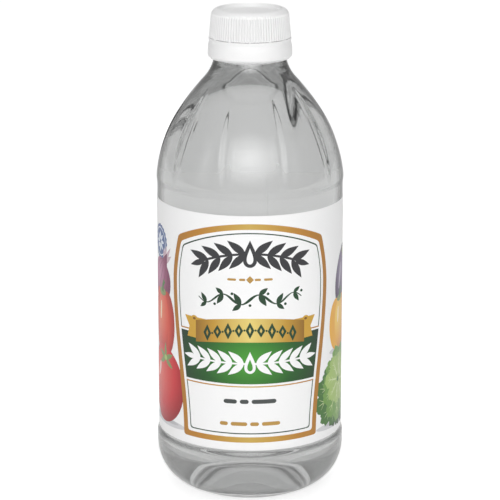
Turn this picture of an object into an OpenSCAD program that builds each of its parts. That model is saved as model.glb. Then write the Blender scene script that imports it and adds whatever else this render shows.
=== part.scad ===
// Half-litre glass vinegar bottle: a clear round bottle with a fluted shoulder, filled with clear
// vinegar, with a wraparound label in a shallow panel and a ribbed screw cap over a tamper band.
// Millimetres, +Z up. The origin is at the centre of the base, on the surface the bottle stands on.

/* [Body] */
// Outside diameter at the heel, the widest part of the bottle
body_d = 73.3; // [64:0.1:92]
// Height at which the shoulder starts to curve inwards
body_h = 119.6; // [96:0.1:150]
// Thickness of the glass in the sides and the shoulder
wall = 2.6; // [1.8:0.1:3.4]
// Radius of the rounded heel
heel_r = 17.1; // [8:0.1:20]
// Radius of the rounded corner between the inside wall and the inside of the base
inner_heel_r = 12; // [6:0.1:14]

/* [Base] */
// Width of the flat ring that the bottle stands on
foot_w = 2.2; // [1:0.1:5]
// Height of the hollow under the base, inside that ring
pushup_h = 4.2; // [2:0.1:7]
// Thickness of the glass over the hollow
base_t = 5; // [3:0.1:8]

/* [Label panel] */
// Depth of the panel below the widest part of the body
panel_depth = 0.75; // [0.4:0.05:1.2]
// Height of the panel's lower edge
panel_low = 23.9; // [21:0.1:40]
// How far the panel runs up past the start of the shoulder curve
panel_over = 3.7; // [1:0.1:5]
// Height of the sloping step at each edge of the panel
panel_step = 0.9; // [0.4:0.1:2]

/* [Label] */
// Thickness of the label
label_t = 0.15; // [0.1:0.01:0.3]
// Bare glass between the panel's lower edge and the label
label_low_gap = 0.4; // [0.2:0.1:4]
// Bare glass between the label and the panel's upper edge
label_top_gap = 6.5; // [1:0.1:20]
// Width of the strip at the back where the label's ends overlap
label_overlap = 7; // [3:0.5:15]

/* [Shoulder] */
// How much slimmer than the heel the shoulder's foot is, on the radius
shoulder_inset = 0.24; // [0:0.01:0.35]
// Radius of the lower shoulder curve
shoulder_r = 55.8; // [48:0.1:64]
// Angle that the lower shoulder curve turns through
shoulder_turn = 32.8; // [28:0.1:36]
// Radius of the flatter curve above it
upper_r = 101.2; // [80:0.1:125]
// Radius of the hollow curve that runs into the neck
neck_blend_r = 15.2; // [10:0.1:20]

/* [Flutes] */
// Number of flutes round the shoulder
flute_count = 10; // [6:1:12]
// Height of a flute's lower end above the start of the shoulder curve
flute_low = 6.6; // [6:0.1:12]
// Height of a flute's upper end above the start of the shoulder curve
flute_top = 38; // [28:0.1:40]
// Depth of a flute at its middle
flute_depth = 0.9; // [0.3:0.05:1.2]
// Radius of the round cutter that a flute is shaped by
flute_cut_r = 3.6; // [2:0.1:5]
// Turn of the whole ring of flutes from the front
flute_phase = 2; // [0:1:36]

/* [Neck and mouth] */
// Outside diameter of the neck
neck_d = 27.3; // [24:0.1:33]
// Diameter of the bore through the neck
bore_d = 20; // [15:0.1:21]
// How far the threaded wall stands in from the neck
finish_step = 1.15; // [0.8:0.05:1.5]
// How far the thread stands out from that wall
thread_out = 1.1; // [0.6:0.05:1.3]
// Pitch of the thread
thread_pitch = 3.2; // [2.6:0.1:3.6]
// Half turns of thread
thread_half_turns = 3; // [2:1:3]
// How far the locking bead stands out from the neck
bead_out = 0.6; // [0.4:0.05:1]
// Height of the locking bead
bead_h = 1.6; // [1.2:0.1:2]
// Radius of the rounding on the lip of the mouth
lip_r = 0.7; // [0.3:0.1:1]

/* [Cap] */
// Clearance between the thread and the inside of the cap
cap_clear = 0.25; // [0.15:0.05:0.5]
// Thickness of the cap's skirt where it meets the rounded top
cap_wall = 1.1; // [0.9:0.05:2]
// How much wider the skirt is at its lower edge, on the radius
cap_taper = 0.7; // [0.2:0.05:1]
// Height of the skirt from its lower edge to the top of the cap
cap_h = 10.85; // [9:0.05:14]
// Radius of the rounding round the top of the cap
cap_edge_r = 2.9; // [1.5:0.1:3.2]
// Thickness of the cap's top
cap_top_t = 1.2; // [0.8:0.1:2]
// Depth of the round recess in the top of the cap
recess_depth = 1.4; // [0.6:0.1:1.8]
// Width of the rim round that recess
rim_w = 2.75; // [2:0.05:4]
// Diameter of the fine raised ring in the recess
ring_d = 21.2; // [12:0.1:22]
// Number of grip ribs round the skirt
rib_count = 88; // [60:1:100]
// Depth of the grooves between the ribs
rib_depth = 0.3; // [0.15:0.05:0.35]
// Width of a groove between two ribs
groove_w = 0.62; // [0.4:0.02:0.62]

/* [Tamper band] */
// Height of the band
band_h = 7.9; // [6.6:0.1:10]
// How far the band hangs down past the top of the neck's hollow curve
band_drop = 2.65; // [1:0.05:3]
// Clearance between the locking bead and the inside of the band
band_clear = 0.25; // [0.15:0.05:0.5]
// Thickness of the band
band_t = 1.65; // [1.4:0.05:2]
// Depth of the waist under the band's upper edge
waist_depth = 0.6; // [0.3:0.05:0.7]
// Height of the bevel round the band's lower edge
bevel = 1; // [0.5:0.1:1.2]
// Height of the slit between the band and the cap
slit_h = 0.2; // [0.15:0.05:0.8]
// Number of small bridges across the slit
bridge_count = 12; // [6:1:16]
// Width of a bridge
bridge_w = 0.9; // [0.6:0.1:1.2]

/* [Filling] */
// Depth of the vinegar's surface below the mouth
fill_gap = 14.5; // [8:0.5:20]

/* [Hidden] */
$fn = 96;
overshoot = 1;
front = -90; // direction that the middle of the label faces
ring_rise = 0.35; // how far the fine ring stands out of the recess
glass_colour = [0.88, 0.91, 0.91, 0.45];
vinegar_colour = [0.97, 0.96, 0.90];
label_colour = [0.97, 0.97, 0.95];
closure_colour = [0.95, 0.95, 0.95];

// Radii of the body
body_r = body_d / 2;
shoulder_foot_r = body_r - shoulder_inset;
panel_r = body_r - panel_depth;
cavity_r = panel_r - wall;
neck_r = neck_d / 2;
bore_r = bore_d / 2;

// Base: the hollow under it is part of a sphere, and the inside of the base follows it
hollow_r = body_r - heel_r - foot_w;
dome_r = (hollow_r * hollow_r + pushup_h * pushup_h) / (2 * pushup_h);
dome_z = pushup_h - dome_r;
floor_r = dome_r + base_t;
inner_heel_x = cavity_r - inner_heel_r;
inner_heel_z = dome_z + sqrt(pow(floor_r + inner_heel_r, 2) - inner_heel_x * inner_heel_x);

// Label panel
panel_top = body_h + panel_over;
label_low = panel_low + label_low_gap;
label_h = panel_top - label_top_gap - label_low;

// Shoulder: centres of its curves, each tangent to the next. An inset of w moves a curve w inwards.
lower_x = shoulder_foot_r - shoulder_r;
turn_x = lower_x + shoulder_r * cos(shoulder_turn);
turn_z = body_h + shoulder_r * sin(shoulder_turn);
upper_x = turn_x - upper_r * cos(shoulder_turn);
upper_z = turn_z - upper_r * sin(shoulder_turn);
function blend_x(r) = r + neck_blend_r;
function blend_z(r, inset) =
    upper_z + sqrt(pow(upper_r - inset + neck_blend_r, 2) - pow(blend_x(r) - upper_x, 2));
function blend_turn(r, inset) =
    acos((blend_x(r) - upper_x) / (upper_r - inset + neck_blend_r));
neck_z = blend_z(neck_r, 0);

// Closure and mouth, from the band's lower edge up
band_low = neck_z - band_drop;
band_top = band_low + band_h;
skirt_low = band_top + slit_h;
cap_top = skirt_low + cap_h;
recess_z = cap_top - recess_depth;
mouth_z = recess_z - cap_top_t;
finish_r = neck_r - finish_step;
thread_r = finish_r + thread_out;
bead_r = neck_r + bead_out;
bead_gap = 1.6; // from the band's top down to the bead
bead_top = band_top - bead_gap;
bead_low = bead_top - bead_h;
cap_bore_r = thread_r + cap_clear;
cap_r = cap_bore_r + cap_wall;
skirt_low_r = cap_r + cap_taper;
band_in_r = bead_r + band_clear;
band_r = band_in_r + band_t;
fill_z = mouth_z - fill_gap;

// Outline of the shoulder at a height z, and the direction that it faces there
function on_lower(z) = z < turn_z;
function arc_centre(z) = on_lower(z) ? [lower_x, body_h] : [upper_x, upper_z];
function arc_radius(z) = on_lower(z) ? shoulder_r : upper_r;
function facing(z) = asin((z - arc_centre(z)[1]) / arc_radius(z));
function beside(z, gap) =
    arc_centre(z) + (arc_radius(z) + gap) * [cos(facing(z)), sin(facing(z))];

// Centre of the circle through three points
function circle_centre(a, b, c) =
    let (p = b - a, q = c - a, d = 2 * (p[0] * q[1] - p[1] * q[0]))
    a + [q[1] * (p * p) - p[1] * (q * q), p[0] * (q * q) - q[0] * (p * p)] / d;

// Shoulder, solid to the axis. Each stretch runs on inside the next one, so that they are one piece.
module shoulder_area(r, inset) {
    turn_in_z = body_h + (shoulder_r - inset) * sin(shoulder_turn);
    join_z = upper_z + (upper_r - inset) * sin(blend_turn(r, inset));
    top_z = blend_z(r, inset);
    intersection() {
        translate([lower_x, body_h]) circle(r = shoulder_r - inset, $fn = 360);
        translate([0, body_h - overshoot]) square([body_r, turn_in_z - body_h + 2 * overshoot]);
    }
    intersection() {
        translate([upper_x, upper_z]) circle(r = upper_r - inset, $fn = 360);
        translate([0, turn_in_z]) square([body_r, join_z - turn_in_z + overshoot]);
    }
    difference() {
        translate([0, join_z]) square([blend_x(r), top_z - join_z]);
        translate([blend_x(r), top_z]) circle(r = neck_blend_r, $fn = 180);
    }
}

// Heel and the straight body up to the shoulder, solid to the axis
module body_area() {
    square([body_r - heel_r, body_h]);
    translate([body_r - heel_r, heel_r]) circle(r = heel_r, $fn = 180);
    translate([0, heel_r]) square([body_r, body_h - heel_r]);
}

// What is cut out of the body and the foot of the shoulder to sink the label panel
module panel_cut() {
    out = body_r + overshoot;
    low = panel_low - panel_step * (out - panel_r) / panel_depth;
    high = panel_top + panel_step * (out - panel_r) / panel_depth;
    polygon([[panel_r, panel_low], [out, low], [out, high], [panel_r, panel_top]]);
}

// Neck above the shoulder: the neck itself, the locking bead and the wall that carries the thread
module finish_area() {
    bead_round = bead_h / 2;
    translate([0, neck_z - overshoot]) square([neck_r, bead_low - neck_z + 2 * overshoot]);
    translate([0, bead_low]) square([bead_r - bead_round, bead_h]);
    intersection() {
        translate([bead_r - bead_round, bead_low]) circle(r = bead_h, $fn = 48);
        translate([0, bead_low]) square([bead_r, bead_h]);
    }
    translate([0, bead_low]) square([finish_r, mouth_z - lip_r - bead_low]);
    translate([0, bead_low]) square([finish_r - lip_r, mouth_z - bead_low]);
    translate([finish_r - lip_r, mouth_z - lip_r]) circle(r = lip_r, $fn = 48);
}

// Everything inside the glass, from the floor to the mouth
module cavity_area() {
    difference() {
        polygon([[0, dome_z], [inner_heel_x, inner_heel_z], [0, inner_heel_z]]);
        translate([0, dome_z]) circle(r = floor_r, $fn = 360);
    }
    intersection() {
        translate([inner_heel_x, inner_heel_z]) circle(r = inner_heel_r, $fn = 180);
        square([cavity_r, inner_heel_z]);
    }
    translate([0, inner_heel_z]) square([cavity_r, body_h - inner_heel_z]);
}

module glass_outline() {
    difference() {
        union() {
            body_area();
            shoulder_area(neck_r, 0);
            finish_area();
        }
        panel_cut();
        translate([0, dome_z]) circle(r = dome_r, $fn = 360);
    }
}

module inside_outline() {
    inset = wall + panel_depth - shoulder_inset;
    cavity_area();
    shoulder_area(bore_r, inset);
    translate([0, blend_z(bore_r, inset) - overshoot])
        square([bore_r, mouth_z + 2 * overshoot - blend_z(bore_r, inset)]);
}

// One flute's cutter: a bent round bar, flatter than the shoulder, that runs out at both ends
module flute_cutter() {
    low_z = body_h + flute_low;
    top_z = body_h + flute_top;
    low = beside(low_z, flute_cut_r);
    top = beside(top_z, flute_cut_r);
    middle = beside((low_z + top_z) / 2, flute_cut_r - flute_depth);
    centre = circle_centre(low, middle, top);
    bend_r = norm(low - centre);
    start = asin((low[1] - centre[1]) / bend_r);
    sweep = asin((top[1] - centre[1]) / bend_r) - start;
    translate([centre[0], 0, centre[1]]) rotate([90, 0, 0]) rotate([0, 0, start])
        rotate_extrude(angle = sweep, $fn = 360) translate([bend_r, 0]) circle(r = flute_cut_r, $fn = 48);
}

// Thread: half rings, each tilted up to the start of the next
module thread() {
    tilt = atan(thread_pitch / (4 * finish_r));
    lead_in = 2.4;
    start_z = mouth_z - lead_in - thread_half_turns * thread_pitch / 2;
    for (i = [0 : thread_half_turns - 1])
        translate([0, 0, start_z + (i + 0.5) * thread_pitch / 2]) rotate([0, 0, 180 * i])
            rotate([0, tilt, 0]) rotate_extrude(angle = 180)
                translate([finish_r, 0]) circle(r = thread_out, $fn = 32);
}

module bottle() {
    color(glass_colour) difference() {
        union() {
            rotate_extrude() difference() {
                glass_outline();
                inside_outline();
            }
            thread();
        }
        for (i = [0 : flute_count - 1])
            rotate([0, 0, front + flute_phase + 360 * (i + 0.5) / flute_count]) flute_cutter();
    }
}

module vinegar() {
    color(vinegar_colour) rotate_extrude() intersection() {
        inside_outline();
        square([body_r, fill_z]);
    }
}

module label() {
    overlap_turn = label_overlap / panel_r * 180 / PI;
    color(label_colour) {
        rotate_extrude() translate([panel_r, label_low]) square([label_t, label_h]);
        rotate([0, 0, front + 180 - overlap_turn / 2]) rotate_extrude(angle = overlap_turn)
            translate([panel_r, label_low]) square([2 * label_t, label_h]);
    }
}

// Skirt, rounded edge and rim of the cap, with its bore and the recess in its top
module cap_area() {
    edge_z = cap_top - cap_edge_r;
    recess_r = cap_r - rim_w;
    difference() {
        union() {
            polygon([[0, skirt_low], [skirt_low_r, skirt_low], [cap_r, edge_z], [0, edge_z]]);
            translate([0, edge_z]) square([cap_r - cap_edge_r, cap_edge_r]);
            intersection() {
                translate([cap_r - cap_edge_r, edge_z]) circle(r = cap_edge_r);
                translate([0, edge_z]) square([cap_r, cap_edge_r]);
            }
        }
        translate([0, skirt_low - overshoot]) square([cap_bore_r, mouth_z - skirt_low + overshoot]);
        translate([0, recess_z]) square([recess_r, recess_depth + overshoot]);
    }
    translate([ring_d / 2, recess_z]) circle(r = ring_rise, $fn = 24);
}

// One groove of the grip: a thin round bar laid along the sloping skirt
module grip_groove() {
    edge_z = cap_top - cap_edge_r;
    slope = atan(cap_taper / (edge_z - skirt_low));
    cut_r = (groove_w * groove_w / 4 + rib_depth * rib_depth) / (2 * rib_depth);
    translate([skirt_low_r + cut_r - rib_depth, 0, skirt_low]) rotate([0, -slope, 0])
        translate([0, 0, -overshoot]) cylinder(r = cut_r, h = cap_h - cap_edge_r / 2 + overshoot, $fn = 24);
}

module cap() {
    color(closure_colour) difference() {
        rotate_extrude() cap_area();
        for (i = [0 : rib_count - 1]) rotate([0, 0, 360 * (i + 0.5) / rib_count]) grip_groove();
    }
}

module tamper_band() {
    latch_r = neck_r + band_clear;
    latch_h = 1.2;
    latch_root = 0.5;
    brim_r = band_r - waist_depth / 2;
    brim_h = 0.5;
    brim_lean = 0.1;
    belly_r = band_r - waist_depth / 5;
    waist_z = band_top - 1.3;
    full_z = band_top - 3.2;
    bridge_t = 0.8;
    bridge_root = 0.2;
    color(closure_colour) {
        rotate_extrude() {
            polygon([
                [band_in_r, band_low], [band_r - bevel, band_low], [band_r, band_low + bevel],
                [belly_r, full_z], [band_r - waist_depth, waist_z],
                [brim_r, band_top - brim_h], [brim_r - brim_lean, band_top], [band_in_r, band_top]
            ]);
            translate([latch_r, bead_low - latch_h]) square([band_in_r - latch_r + latch_root, latch_h]);
        }
        for (i = [0 : bridge_count - 1]) rotate([0, 0, 360 * i / bridge_count])
            translate([band_in_r + band_clear, -bridge_w / 2, band_top - bridge_root])
                cube([bridge_t, bridge_w, slit_h + bridge_root]);
    }
}

bottle();
vinegar();
label();
cap();
tamper_band();
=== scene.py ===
"""Looks of a half-litre glass vinegar bottle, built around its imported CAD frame.

Lengths are in mm until a mesh is made. Angles round the bottle are in radians; those that
functions take for arcs, print shapes and the camera are in degrees.
"""
from math import acos, asin, atan, atan2, cos, degrees, hypot, log, pi, radians, sin, sqrt

import bmesh
import bpy
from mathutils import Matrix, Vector
from mathutils.geometry import delaunay_2d_cdt


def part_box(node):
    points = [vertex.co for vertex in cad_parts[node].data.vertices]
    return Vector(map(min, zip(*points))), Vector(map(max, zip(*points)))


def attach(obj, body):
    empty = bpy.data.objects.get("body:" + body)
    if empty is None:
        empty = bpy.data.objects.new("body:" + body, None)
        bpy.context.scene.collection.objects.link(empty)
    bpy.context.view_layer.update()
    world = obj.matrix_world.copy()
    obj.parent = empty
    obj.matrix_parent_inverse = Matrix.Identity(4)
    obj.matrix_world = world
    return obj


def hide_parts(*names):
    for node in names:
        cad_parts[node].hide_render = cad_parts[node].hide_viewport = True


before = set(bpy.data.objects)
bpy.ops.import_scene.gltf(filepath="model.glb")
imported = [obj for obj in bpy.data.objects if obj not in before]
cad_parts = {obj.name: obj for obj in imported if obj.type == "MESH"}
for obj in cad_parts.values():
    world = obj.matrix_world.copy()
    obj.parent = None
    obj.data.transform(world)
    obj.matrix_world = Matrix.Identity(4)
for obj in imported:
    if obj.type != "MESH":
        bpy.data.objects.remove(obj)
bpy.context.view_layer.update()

MM = 0.001
BODY = "root"
SCENE = bpy.context.scene

# ---- Sizes


def node_sizes(node):
    """Outer radius, lowest and highest point of a CAD node."""
    low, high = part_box(node)
    return high.x / MM, low.z / MM, high.z / MM


BODY_R, _, MOUTH_Z = node_sizes("bottle")
LABEL_R, LABEL_LOW, LABEL_TOP = node_sizes("label")
CAP_R, CAP_LOW, CAP_TOP = node_sizes("cap")
BAND_R, BAND_LOW, _ = node_sizes("tamper_band")
FILL_Z = node_sizes("vinegar")[2]

# Glass body
WALL = 2.6
HEEL_R = 17.1
INNER_HEEL_R = 12.0
FOOT_W = 2.2
PUSHUP_H = 4.2
BASE_T = 5.0
BODY_H = 119.6
PANEL_DEPTH = 0.75
PANEL_LOW = 23.9
PANEL_TOP = BODY_H + 3.7
PANEL_STEP = 0.9
STEP_EASE = 1.0
PANEL_R = BODY_R - PANEL_DEPTH
CAVITY_R = PANEL_R - WALL

# Shoulder: two round curves and a hollow one into the neck
SHOULDER_INSET = 0.24
SHOULDER_R = 55.8
SHOULDER_TURN = 32.8
UPPER_R = 101.2
NECK_BLEND_R = 15.2

# Neck and mouth
NECK_R = 13.65
BORE_R = 10.0
FINISH_R = 12.5
THREAD_OUT = 1.1
THREAD_PITCH = 3.2
THREAD_TURNS = 1.5
THREAD_LEAD_IN = 2.4
THREAD_FADE = 0.08
BEAD_R = 14.25
BEAD_H = 1.6
BEAD_GAP = 1.6
LIP_R = 0.7

# Flutes
FLUTE_COUNT = 10
FLUTE_LOW = BODY_H + 6.6
FLUTE_TOP = BODY_H + 38
FLUTE_DEPTH = 0.9
FLUTE_CUT_R = 3.6
FLUTE_PHASE = 2
FLUTE_EDGE = 0.5

# Closure
RIB_COUNT = 88
RIB_DEPTH = 0.34
RIB_EDGE = 0.12
RIB_TURN = 2 * pi / RIB_COUNT
GROOVE_W = 0.66
GROOVE_CUT_R = (GROOVE_W ** 2 / 4 + RIB_DEPTH ** 2) / (2 * RIB_DEPTH)
CAP_TAPER = 0.7
CAP_EDGE_R = 2.9
CAP_EDGE_Z = CAP_TOP - CAP_EDGE_R
CAP_BORE_R = 13.85
RIM_W = 2.75
DISH_R = CAP_R - CAP_TAPER - RIM_W
RECESS_DEPTH = 1.4
RING_R = 10.6
SLIT_H = 0.2
BAND_TOP = CAP_LOW - SLIT_H
BEAD_TOP = BAND_TOP - BEAD_GAP
BAND_IN_R = 14.5
WAIST_DEPTH = 0.6
BEVEL = 1.0
BRIDGE_COUNT = 12
BRIDGE_W = 0.9
BOX_SIDES = ((0, 1, 3, 2), (4, 6, 7, 5), (0, 2, 6, 4), (1, 5, 7, 3), (0, 4, 5, 1), (2, 3, 7, 6))

# Liquid: how far it reaches into the glass, and the height of its curved edge
LIQUID_SINK = 0.12
MENISCUS_H = 1.3

# Label: how far its back reaches into the glass, its lap, and the strips that it bends in
LABEL_SINK = 0.05
LABEL_T = LABEL_R - PANEL_R
LAP = 7.0
HALF_TURN = pi * LABEL_R
SEAM = HALF_TURN - LAP / 2
OUTER_RAMP, INNER_RAMP = 1.5, 0.15
COLUMN_W = 1.26
CDT_REACH = 1e-5

# Plaque on the label's front, and where the two panels at its back stand
PLAQUE_LOW, PLAQUE_CORNER, PLAQUE_ARCH = 27.5, 106.7, 7.1
PLAQUE_FOOT_W, PLAQUE_WIDE, PLAQUE_WIDE_Z, PLAQUE_TOP_W = 28.2, 34.0, 88.0, 30.6
GOLD_W, LINE_AT, LINE_W = 2.2, 3.4, 0.45
BACK_PANEL_AT = 96.5

# ---- Looks

# Glass: its tint, then painted shade that darkens it as it is seen more edge-on; the shift of that painted
# shade at the neck and at the heel
GLASS_TINT_AND_SHADE_STOPS = [(0.6, (0.85, 0.855, 0.855, 1)), (0.72, (0.2, 0.2, 0.2, 1)), (0.8, (0.01, 0.01, 0.01, 1))]
NECK_SHADE_ZONE, NECK_EDGE_SHADE = (150, 166), 0.12
HEEL_SHADE_ZONE, HEEL_EDGE_SHADE = (30, 110), 0.5
VINEGAR_TINT = (0.97, 0.97, 0.965, 1)
CLEAR_SLOTS = ("clear_glass", "vinegar_liquid")
# How often light may cross glass and liquid on its way
GLASS_BOUNCES = 24

# Painted light: the label's inside glows as if light came through the paper; its strength as a share of
# white, and where it starts to rise
PAINTED_GLOW, SIDE_PAINTED_GLOW = 0.27, 0.2
PAINTED_GLOW_FROM = 0.55
# White of the closure's plastic, and the painted shade at the bottom of its grooves
CREST_COLOUR, GROOVE_SHADE_COLOUR = (250, 250, 250), (232, 232, 232)
PRINT_MAP, GROOVE_MAP = "print_mm", "groove_depth"
# Places of the colour sockets of a Mix node
MIX_A, MIX_B, MIX_OUT = 6, 7, 2

FLOOR_SIZE, FLOOR_STEPS = 6000, 12
FLOOR_COLOUR = (0.93, 0.93, 0.93, 1)
FLOOR_GLOW, FLOOR_GLOW_SEEN = 0.18, 0.5
# Brightness of the surroundings, from straight above or behind (0) to the sides (1)
WORLD_STOPS = [(0.0, 0.68), (0.55, 0.60), (0.85, 0.2), (1.0, 0.12)]

# Soft lights: name, place and size in metres, and watts; all aim at LIT_POINT
LIGHTS = (
    ("front_soft", (0.0, -1.3, 0.75), (2.3, 1.2), 8.0),
    ("left_soft", (-1.0, -0.55, 0.45), (0.5, 1.0), 0.35),
    ("right_soft", (1.0, -0.55, 0.45), (0.5, 1.0), 0.25),
    ("top_soft", (0.0, 0.3, 1.4), (1.4, 1.4), 0.6),
)
LIT_POINT = (0, 0, 0.1)
FADED_GAIN = 3.8

CAMERA_PLACE, CAMERA_TILT, CAMERA_LENS = (0, -0.8630, 0.3262), 74.95, 165.0

# ---- Curves and meshes


def evenly(first, last, steps):
    """Evenly spaced numbers, both ends among them."""
    return [first + (last - first) * i / steps for i in range(steps + 1)]


def even_angles(count):
    return [2 * pi * i / count for i in range(count)]


def arc(centre, radius, start, end, steps):
    """Points along a circle, from one angle to another."""
    turns = [radians(angle) for angle in evenly(start, end, steps)]
    return [(centre[0] + radius * cos(t), centre[1] + radius * sin(t)) for t in turns]


def eased(points, ease, steps=4):
    """The same path with each inner corner replaced by a short curve that keeps within ease of it."""
    path = [points[0]]
    for before, corner, after in zip(points, points[1:], points[2:]):
        b, c, a = Vector(before), Vector(corner), Vector(after)
        reach = min(ease, (b - c).length * 0.45, (a - c).length * 0.45)
        start = c + (b - c).normalized() * reach
        end = c + (a - c).normalized() * reach
        for i in range(steps + 1):
            t = i / steps
            path.append(tuple(start * (1 - t) ** 2 + c * 2 * t * (1 - t) + end * t * t))
    return path + [points[-1]]


def even_path(start, end, spacing):
    """Points at about this spacing along a straight line."""
    count = max(1, round((Vector(end) - Vector(start)).length / spacing))
    return [tuple(Vector(start).lerp(Vector(end), t)) for t in evenly(0, 1, count)]


def revolve(profile, angles, shape=None, closed=False):
    """Vertices and faces of a profile of (radius, height) turned about Z; shape may change a radius.

    A point on the axis is a ring of one vertex, with triangles round it.
    """
    verts, rings, faces = [], [], []
    for radius, height in profile:
        first = len(verts)
        if radius < 1e-6:
            verts.append((0, 0, height))
            rings.append([first])
            continue
        for angle in angles:
            r = shape(radius, height, angle) if shape else radius
            verts.append((r * cos(angle), r * sin(angle), height))
        rings.append(list(range(first, len(verts))))
    pairs = list(zip(rings, rings[1:]))
    if closed:
        pairs.append((rings[-1], rings[0]))
    for low, high in pairs:
        for i in range(len(angles)):
            j = (i + 1) % len(angles)
            corners = [ring[k % len(ring)] for ring, k in ((low, i), (low, j), (high, j), (high, i))]
            faces.append(tuple(dict.fromkeys(corners)))
    return verts, faces


def new_mesh(name, verts, faces, materials):
    """A mesh in metres from points in mm."""
    mesh = bpy.data.meshes.new(name)
    mesh.from_pydata([(x * MM, y * MM, z * MM) for x, y, z in verts], [], faces)
    for material in materials:
        mesh.materials.append(material)
    return mesh


def add_object(name, data):
    made = bpy.data.objects.new(name, data)
    SCENE.collection.objects.link(made)
    return made


def closed_piece(name, verts, faces, material):
    """A smooth closed piece, its points joined where they meet and its faces turned outwards."""
    mesh = new_mesh(name, verts, faces, [material])
    work = bmesh.new()
    work.from_mesh(mesh)
    bmesh.ops.remove_doubles(work, verts=work.verts, dist=1e-7)
    bmesh.ops.recalc_face_normals(work, faces=work.faces)
    work.to_mesh(mesh)
    work.free()
    mesh.shade_smooth()
    return add_object(name, mesh)


# ---- Glass outline

HOLLOW_R = BODY_R - HEEL_R - FOOT_W
DOME_R = (HOLLOW_R ** 2 + PUSHUP_H ** 2) / (2 * PUSHUP_H)
DOME_Z = PUSHUP_H - DOME_R
FLOOR_R = DOME_R + BASE_T
LOWER_C = (BODY_R - SHOULDER_INSET - SHOULDER_R, BODY_H)
TURN = radians(SHOULDER_TURN)
UPPER_C = (
    LOWER_C[0] + (SHOULDER_R - UPPER_R) * cos(TURN),
    LOWER_C[1] + (SHOULDER_R - UPPER_R) * sin(TURN),
)
INSET = WALL + PANEL_DEPTH - SHOULDER_INSET


def shoulder_path(radius, inset, start_z, steps):
    """The shoulder's outline from a height up to where it becomes a neck of this radius."""
    reach = UPPER_R - inset + NECK_BLEND_R
    x = radius + NECK_BLEND_R
    centre = (x, UPPER_C[1] + sqrt(reach ** 2 - (x - UPPER_C[0]) ** 2))
    join = degrees(acos((x - UPPER_C[0]) / reach))
    start = degrees(asin((start_z - BODY_H) / (SHOULDER_R - inset)))
    lower = arc(LOWER_C, SHOULDER_R - inset, start, SHOULDER_TURN, steps)
    upper = arc(UPPER_C, UPPER_R - inset, SHOULDER_TURN, join, steps // 2)
    blend = arc(centre, NECK_BLEND_R, 180 + join, 180, steps // 2)
    return lower + upper[1:] + blend[1:]


def shoulder_start():
    """Height at which the sloping upper step of the label panel meets the shoulder."""
    z = PANEL_TOP
    step_r = PANEL_R
    while step_r < LOWER_C[0] + sqrt(SHOULDER_R ** 2 - (z - BODY_H) ** 2):
        z += 0.01
        step_r = PANEL_R + (z - PANEL_TOP) * PANEL_DEPTH / PANEL_STEP
    return z


def outside_path():
    """The outside of the glass from the middle of its hollow base up to its lip."""
    foot = [(HOLLOW_R, 0), (HOLLOW_R + FOOT_W, 0)]
    rim = degrees(acos(HOLLOW_R / DOME_R))
    dome = arc((0, DOME_Z), DOME_R, 90, rim + 0.8, 14)
    heel = arc((BODY_R - HEEL_R, HEEL_R), HEEL_R, -90, 0, 26)
    base = dome[:-1] + eased([dome[-1], foot[0], foot[1]], 0.6, 5)[1:-1] + heel
    steps = [heel[-1], (BODY_R, PANEL_LOW - PANEL_STEP - STEP_EASE)]
    steps += [(PANEL_R, PANEL_LOW), (PANEL_R, PANEL_TOP - STEP_EASE)]
    shoulder = shoulder_path(NECK_R, 0, shoulder_start() + STEP_EASE, 40)
    sides = eased(steps + [shoulder[0], shoulder[2]], 1.6, 8)
    half = BEAD_H / 2
    bead = arc((BEAD_R - half, BEAD_TOP - half), half, -90, 90, 8)
    neck = [shoulder[-1], (NECK_R, bead[0][1])] + bead
    wall = even_path((FINISH_R, BEAD_TOP), (FINISH_R, MOUTH_Z - LIP_R), 0.28)
    lip = arc((FINISH_R - LIP_R, MOUTH_Z - LIP_R), LIP_R, 0, 90, 6)
    return base[:-1] + sides[:-1] + shoulder[2:-1] + neck + wall + lip[1:]


def inside_path(grow=0.0):
    """The inside of the glass from the neck's foot down to the middle of the floor, grown into the wall."""
    shoulder = shoulder_path(BORE_R + grow, INSET - grow, BODY_H, 24)[::-1]
    centre_x = CAVITY_R - INNER_HEEL_R
    centre_z = DOME_Z + sqrt((FLOOR_R + INNER_HEEL_R) ** 2 - centre_x ** 2)
    lean = degrees(atan2(centre_z - DOME_Z, centre_x))
    heel = arc((centre_x, centre_z), INNER_HEEL_R + grow, 0, lean - 180, 22)
    floor = arc((0, DOME_Z), FLOOR_R - grow, lean, 90, 12)
    return shoulder + heel + floor[1:-1] + [(0, DOME_Z + FLOOR_R - grow)]


def glass_path():
    """The whole profile: up the outside, over the lip and down the inside."""
    throat = eased([(FINISH_R - LIP_R, MOUTH_Z), (BORE_R, MOUTH_Z), (BORE_R, MOUTH_Z - 4)], 0.6, 4)
    return outside_path() + throat[1:] + inside_path()


# ---- Flutes and thread


def along_outline(z, gap):
    """A point beside the shoulder's outline at a height, out by a gap."""
    lower = z < LOWER_C[1] + SHOULDER_R * sin(TURN)
    centre, radius = (LOWER_C, SHOULDER_R) if lower else (UPPER_C, UPPER_R)
    turn = asin((z - centre[1]) / radius)
    return Vector((centre[0] + (radius + gap) * cos(turn), centre[1] + (radius + gap) * sin(turn)))


def circle_through(a, b, c):
    """Centre and radius of the circle through three points."""
    p, q = b - a, c - a
    d = 2 * (p.x * q.y - p.y * q.x)
    centre = a + Vector((q.y * p.dot(p) - p.y * q.dot(q), p.x * q.dot(q) - q.x * p.dot(p))) / d
    return centre, (a - centre).length


FLUTE_C, FLUTE_BEND = circle_through(
    along_outline(FLUTE_LOW, FLUTE_CUT_R),
    along_outline((FLUTE_LOW + FLUTE_TOP) / 2, FLUTE_CUT_R - FLUTE_DEPTH),
    along_outline(FLUTE_TOP, FLUTE_CUT_R),
)


def flute_offset(angle):
    """Angle from the nearest flute's middle."""
    pitch = 2 * pi / FLUTE_COUNT
    first = radians(360 * 0.5 / FLUTE_COUNT - 90 + FLUTE_PHASE)
    return (angle - first + pitch / 2) % pitch - pitch / 2


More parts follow.
